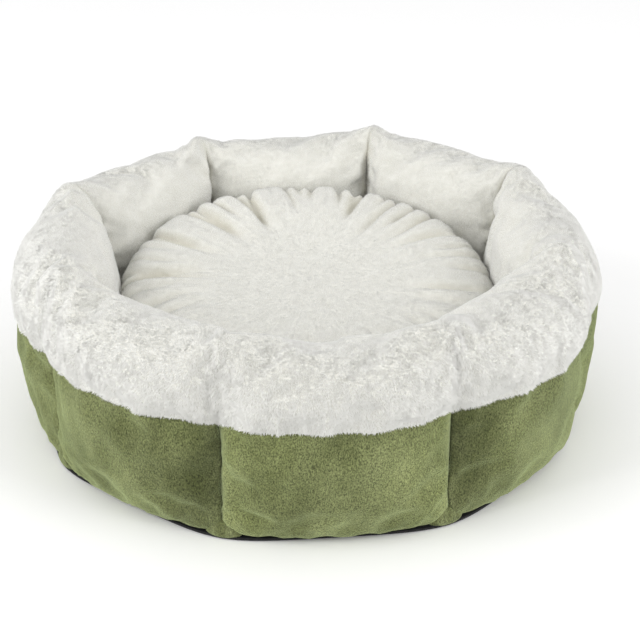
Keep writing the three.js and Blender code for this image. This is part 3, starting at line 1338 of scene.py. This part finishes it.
@dataclass(frozen=True)
class GripSheet:
    """The black sheet under the bed, with rubber dots on its underside."""

    apothem: float = 0.2265
    reach: float = 0.2360
    thickness: float = 0.0020
    dot_height: float = 0.0005
    dot_radius: float = 0.0022
    dot_spacing: float = 0.0125
    dot_sides: int = 10
    dot_field: float = 0.24
    dot_margin: float = 0.008
    rings: int = 12
    columns: int = 192

    def plate(self) -> tuple[np.ndarray, list[np.ndarray], float]:
        """Vertices and faces of the sheet, and the area of one side."""
        angle = np.linspace(0, 2 * math.pi, self.columns, endpoint=False)
        radius = rounded_octagon(angle, self.apothem, self.reach)
        share = np.linspace(1, 0.02, self.rings)[:, None]
        flat = np.stack([share * radius * np.cos(angle), share * radius * np.sin(angle)], -1)
        layers = []
        for height in (self.dot_height, self.dot_height + self.thickness):
            level = np.full(flat.shape[:2] + (1,), height)
            layers.append(np.concatenate([flat, level], -1).reshape(-1, 3))
        count = self.rings * self.columns
        quads = grid_quads(self.rings, self.columns, closed=True)
        ring = np.arange(self.columns)
        after = np.roll(ring, -1)
        rim = np.stack([ring, after, after + count, ring + count], 1)
        hole = rim[:, ::-1] + (self.rings - 1) * self.columns
        wedges = float((radius * np.roll(radius, -1)).sum())
        area = 0.5 * math.sin(2 * math.pi / self.columns) * wedges
        faces = [np.concatenate([quads[:, ::-1], quads + count, rim, hole])]
        return np.concatenate(layers), faces, area

    def dots(self) -> tuple[np.ndarray, np.ndarray]:
        """Vertices and faces of the dots, each a low frustum with its crown on the floor."""
        step = self.dot_spacing
        n = int(self.dot_field / step)
        row, column = np.meshgrid(np.arange(-n, n + 1), np.arange(-n, n + 1), indexing="ij")
        x = (column + 0.5 * (row % 2)) * step
        y = row * step * math.sqrt(0.75)
        edge = rounded_octagon(np.arctan2(y, x), self.apothem, self.reach)
        keep = np.hypot(x, y) < edge - self.dot_margin
        centre = np.stack([x[keep], y[keep]], -1)
        around = np.linspace(0, 2 * math.pi, self.dot_sides, endpoint=False)
        circle = np.stack([np.cos(around), np.sin(around)], -1) * self.dot_radius
        verts = []
        for size, height in ((1.0, self.dot_height + 0.0001), (0.8, 0.00015), (0.5, 0.0)):
            place = centre[:, None] + size * circle
            verts.append(np.concatenate([place, np.full(place.shape[:2] + (1,), height)], -1))
        stacked = np.stack(verts, 1)
        base = (np.arange(len(centre)) * 3 * self.dot_sides)[:, None, None]
        quads = (grid_quads(3, self.dot_sides, closed=True)[None] + base).reshape(-1, 4)
        return stacked.reshape(-1, 3), quads

    def build(self, palette: Palette) -> None:
        """Makes the sheet.

        Args:
            palette: The bed's materials.
        """
        verts, faces, area = self.plate()
        dots, dot_faces = self.dots()
        faces = [np.concatenate(faces + [dot_faces + len(verts)])]
        piece = build_object("grip_sheet", np.concatenate([verts, dots]), faces, smooth=False)
        piece.data.materials.append(palette.black)
        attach(piece, Body.BED.value)
        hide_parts("base_nonslip_sheet")
        LOG.info("grip sheet: %d dots", len(dots) // (3 * self.dot_sides))


@dataclass(frozen=True)
class QuiltedFloor:
    """The padded floor inside the wall, quilted in squares set cornerwise."""

    apothem: float = 0.2040
    reach: float = 0.2140
    columns: int = 150
    channel: float = 0.0045
    channel_width: float = 0.0045
    spacing: float = 0.062
    low: float = 0.0031
    edge_drop: float = 0.006

    def build(self, palette: Palette) -> None:
        """Makes the floor.

        Args:
            palette: The bed's materials.
        """
        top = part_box("base_lining")[1].z
        line = np.linspace(-1, 1, self.columns)
        u, v = np.meshgrid(line, line)
        angle = np.arctan2(v, u)
        square = 1 / np.maximum(np.maximum(abs(np.cos(angle)), abs(np.sin(angle))), 1e-6)
        scale = rounded_octagon(angle, self.apothem, self.reach) / square
        x, y = u * scale, v * scale
        height = np.full(x.shape, top)
        stitch = np.zeros(x.shape)
        half = 0.5 * self.spacing
        for run in (x + y, x - y):
            away = abs((run / math.sqrt(2) + half) % self.spacing - half)
            stitch = np.maximum(stitch, np.exp(-away / self.channel_width))
        edge = np.clip(np.maximum(abs(u), abs(v)), 0, 1)
        height -= self.channel * stitch + self.edge_drop * eased(edge, 0.93, 1.0)
        grid = np.stack([x, y, height], -1)
        grid[..., 2] += 0.0004 * drift(grid, 0.05, 31)[..., 2]
        grid[..., 2] = np.minimum(grid[..., 2], top)
        piece = shell("quilted_floor", grid, 0.0, np.stack([x, y, np.full(x.shape, self.low)], -1))
        paint(piece, "seam", np.concatenate([stitch.ravel() ** 3, np.zeros(x.size)]))
        piece.data.materials.append(palette.quilt)
        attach(piece, Body.BED.value)
        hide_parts("base_pad", "base_lining")
        LOG.info("quilted floor: top at %.1f mm", 1000 * top)


@dataclass(frozen=True)
class CornerTucks:
    """The gathered cloth that fills the foot of each corner seam."""

    radius: float = 0.2298
    half_width: float = 0.0165
    depth: float = 0.0074
    height: float = 0.0225
    pleats: int = 9
    rows: int = 25
    columns: int = 72

    def build(self, palette: Palette) -> None:
        """Makes the eight tucks.

        Args:
            palette: The bed's materials.
        """
        rng = np.random.default_rng(61)
        rise = np.linspace(-0.5 * math.pi, 0.5 * math.pi, self.rows)[:, None]
        turn = np.linspace(0, 2 * math.pi, self.columns, endpoint=False)[None, :]
        for corner in range(SIDES):
            azimuth = -0.5 * math.pi + HALF_SIDE * (2 * corner + 1)
            wide = self.half_width * rng.uniform(0.92, 1.08)
            phase = rng.uniform(0, 2 * math.pi)
            girth = np.cos(rise) ** 0.6 * (0.88 - 0.42 * np.sin(rise))
            fold = np.cos(self.pleats * turn + phase + 1.5 * np.sin(2 * turn + phase))
            girth = girth * (1 + 0.10 * fold * np.clip(0.7 + np.sin(rise), 0, 1))
            across = wide * girth * np.sin(turn)
            out = self.radius + self.depth * girth * np.cos(turn)
            up = np.maximum(0.5 * self.height * (1 + np.sin(rise)), 0.0004) * np.ones_like(turn)
            x = out * math.cos(azimuth) - across * math.sin(azimuth)
            y = out * math.sin(azimuth) + across * math.cos(azimuth)
            grid = np.stack([x, y, up], -1)
            quads = grid_quads(self.rows, self.columns, closed=True)
            piece = build_object(f"corner_tuck_{corner + 1}", grid.reshape(-1, 3), [quads])
            # Painted sheen on the ridges of the pleats through the seam value, and painted shade
            # over the whole tuck through the brightness attribute.
            paint(piece, "seam", (0.35 + 0.3 * fold * np.ones_like(rise)).ravel())
            paint(piece, "painted_light_shade", np.full(grid[..., 0].size, -0.3))
            piece.data.materials.append(palette.velvet)
            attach(piece, Body.BED.value)
        LOG.info("corner tucks: %d", SIDES)


# ---- studio --------------------------------------------------------------------------------------


@dataclass(frozen=True)
class Studio:
    """Pale floor, soft lights and the camera."""

    azimuth: float = -5.7
    elevation: float = 28.2
    distance: float = 1.511
    tilt: float = 25.35
    pan: float = 0.46
    lens: float = 93.4
    sky: float = 0.84
    floor_half: float = 6.0
    floor_drop: float = 0.0005
    lights: tuple = (
        ("key", (-2.4, -1.0, 1.4), 1.5, 37.0),
        ("fill", (2.0, -1.5, 1.2), 1.5, 27.0),
        ("top", (-0.2, 0.5, 2.6), 2.0, 0.5),
    )

    def camera(self) -> None:
        """Places the camera and makes it the scene's."""
        data = bpy.data.cameras.new("camera")
        data.lens = self.lens
        data.sensor_width = 36.0
        camera = bpy.data.objects.new("camera", data)
        bpy.context.scene.collection.objects.link(camera)
        a, e = math.radians(self.azimuth), math.radians(self.elevation)
        back = Vector((math.sin(a) * math.cos(e), -math.cos(a) * math.cos(e), math.sin(e)))
        camera.location = back * self.distance
        camera.rotation_euler = (
            math.radians(90 - self.tilt),
            0.0,
            math.radians(self.azimuth - self.pan),
        )
        bpy.context.scene.camera = camera

    def light(self, name: str, place: tuple, size: float, power: float) -> None:
        """Adds a square soft light that faces the bed.

        Args:
            name: Name of the light.
            place: Where it stands.
            size: Length of its sides.
            power: Power in watts.
        """
        data = bpy.data.lights.new(name, "AREA")
        data.size, data.energy = size, power
        obj = bpy.data.objects.new(name, data)
        obj.location = place
        towards = Vector((0, 0, 0.1)) - Vector(place)
        obj.rotation_euler = towards.to_track_quat("-Z", "Y").to_euler()
        bpy.context.scene.collection.objects.link(obj)

    def build(self) -> None:
        """Makes the floor, the lights, the sky and the camera."""
        around = ((-1, -1), (1, -1), (1, 1), (-1, 1))
        half, low = self.floor_half, -self.floor_drop
        corners = np.array([[x * half, y * half, low] for x, y in around])
        ground = build_object("studio_floor", corners, [np.array([[0, 1, 2, 3]])], smooth=False)
        material = bpy.data.materials.new("pale_floor")
        material.use_nodes = True
        shader = material.node_tree.nodes["Principled BSDF"]
        shader.inputs["Base Color"].default_value = (1.0, 1.0, 1.0, 1.0)
        shader.inputs["Roughness"].default_value = 0.9
        ground.data.materials.append(material)
        for light in self.lights:
            self.light(*light)
        world = bpy.data.worlds.new("studio_sky")
        world.use_nodes = True
        background = world.node_tree.nodes["Background"]
        background.inputs["Color"].default_value = (1.0, 1.0, 1.0, 1.0)
        background.inputs["Strength"].default_value = self.sky
        bpy.context.scene.world = world
        bpy.context.scene.view_settings.view_transform = "Standard"
        self.camera()


def main() -> None:
    """Builds the bed's looks, part by part, then the studio."""
    logging.basicConfig(level=logging.INFO, format="%(name)s: %(message)s")
    palette = Palette()
    GripSheet().build(palette)
    QuiltedFloor().build(palette)
    Wall().build(palette)
    CornerTucks().build(palette)
    Cushion().build(palette)
    Studio().build()


if __name__ == "__main__":
    main()
